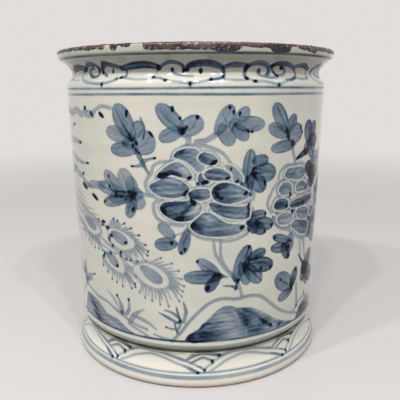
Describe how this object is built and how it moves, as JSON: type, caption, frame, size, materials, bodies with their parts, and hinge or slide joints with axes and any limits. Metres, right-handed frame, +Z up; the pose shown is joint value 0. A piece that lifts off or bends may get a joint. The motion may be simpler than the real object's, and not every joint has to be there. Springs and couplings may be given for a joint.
{
  "type": "jardiniere on stand",
  "caption": "Straight-sided porcelain floor jardiniere with a hollow neck and everted brown-edged lip, lifting off a low flared ring stand.",
  "frame": {"origin": "on the floor under the centre of the ring stand", "axes": "+Z up along the axis of the pot, -Y towards the painted front, +X to the right of the front"},
  "size_m": [0.2548, 0.2548, 0.2774],
  "materials": {
    "porcelain": "glossy off-white glaze painted in washes of cobalt blue",
    "stand_porcelain": "glossy off-white glaze with painted blue arches",
    "iron_brown": "raised iron-brown dressing, satin, chipped",
    "biscuit": "bare fired clay, matt"
  },
  "bodies": {
    "stand": {"stand_skirt": "stand_porcelain", "stand_seat": "stand_porcelain"},
    "jardiniere": {"pot_wall": "porcelain", "pot_floor": "porcelain", "pot_foot_ring": "biscuit", "pot_neck": "porcelain", "lip_dressing": "iron_brown"}
  },
  "joints": [
    {"name": "jardiniere_lift", "type": "slide", "parent": "stand", "child": "jardiniere", "axis": [0, 0, 1], "range_m": [0, 0.06]}
  ]
}
